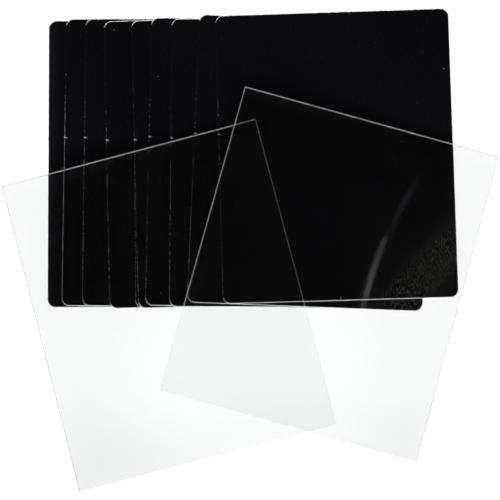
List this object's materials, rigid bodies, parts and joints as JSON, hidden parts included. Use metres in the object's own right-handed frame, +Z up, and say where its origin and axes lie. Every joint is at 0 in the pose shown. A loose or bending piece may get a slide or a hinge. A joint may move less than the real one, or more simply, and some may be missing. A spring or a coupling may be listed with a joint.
{
  "type": "glass negative carrier set",
  "caption": "Clear glass plates crossed over a fan of thin black rounded-corner mask blanks, for pressing a film negative flat and masking it off.",
  "frame": {"origin": "centre of the bottom blank's underside, on the table", "axes": "+Z up, off the table; +X along the fan from the bottom blank to the top one; +Y along the blanks' length, away from the glass plates' near corners"},
  "size_m": [0.2152, 0.2095, 0.0136],
  "materials": {
    "black_lacquered_aluminium": "gloss",
    "clear_glass": "polished"
  },
  "bodies": {
    "mask_blank_01": {"mask_blank_01": "black_lacquered_aluminium"},
    "mask_blank_02": {"mask_blank_02": "black_lacquered_aluminium"},
    "mask_blank_03": {"mask_blank_03": "black_lacquered_aluminium"},
    "mask_blank_04": {"mask_blank_04": "black_lacquered_aluminium"},
    "mask_blank_05": {"mask_blank_05": "black_lacquered_aluminium"},
    "mask_blank_06": {"mask_blank_06": "black_lacquered_aluminium"},
    "mask_blank_07": {"mask_blank_07": "black_lacquered_aluminium"},
    "mask_blank_08": {"mask_blank_08": "black_lacquered_aluminium"},
    "mask_blank_09": {"mask_blank_09": "black_lacquered_aluminium"},
    "mask_blank_10": {"mask_blank_10": "black_lacquered_aluminium"},
    "lower_glass_plate": {"lower_glass_plate": "clear_glass"},
    "upper_glass_plate": {"upper_glass_plate": "clear_glass"}
  },
  "joints": [
    {"name": "mask_blank_02_fan_slide", "type": "slide", "parent": "mask_blank_01", "child": "mask_blank_02", "axis": [1, 0, 0], "range_m": [-0.0069, 0.0081]},
    {"name": "mask_blank_03_fan_slide", "type": "slide", "parent": "mask_blank_02", "child": "mask_blank_03", "axis": [1, 0, 0], "range_m": [-0.0088, 0.0062]},
    {"name": "mask_blank_04_fan_slide", "type": "slide", "parent": "mask_blank_03", "child": "mask_blank_04", "axis": [1, 0, 0], "range_m": [-0.01, 0.005]},
    {"name": "mask_blank_05_fan_slide", "type": "slide", "parent": "mask_blank_04", "child": "mask_blank_05", "axis": [1, 0, 0], "range_m": [-0.0122, 0.0028]},
    {"name": "mask_blank_06_fan_slide", "type": "slide", "parent": "mask_blank_05", "child": "mask_blank_06", "axis": [1, 0, 0], "range_m": [-0.0001, 0.0149]},
    {"name": "mask_blank_07_fan_slide", "type": "slide", "parent": "mask_blank_06", "child": "mask_blank_07", "axis": [1, 0, 0], "range_m": [-0.006, 0.009]},
    {"name": "mask_blank_08_fan_slide", "type": "slide", "parent": "mask_blank_07", "child": "mask_blank_08", "axis": [1, 0, 0], "range_m": [-0.0097, 0.0053]},
    {"name": "mask_blank_09_fan_slide", "type": "slide", "parent": "mask_blank_08", "child": "mask_blank_09", "axis": [1, 0, 0], "range_m": [-0.0099, 0.0051]},
    {"name": "mask_blank_10_fan_slide", "type": "slide", "parent": "mask_blank_09", "child": "mask_blank_10", "axis": [1, 0, 0], "range_m": [-0.0113, 0.0037]},
    {"name": "lower_glass_plate_lift", "type": "slide", "parent": "mask_blank_10", "child": "lower_glass_plate", "axis": [0, 0, 1], "range_m": [0, 0.04]},
    {"name": "upper_glass_plate_lift", "type": "slide", "parent": "lower_glass_plate", "child": "upper_glass_plate", "axis": [0, 0, 1], "range_m": [0, 0.04]}
  ]
}
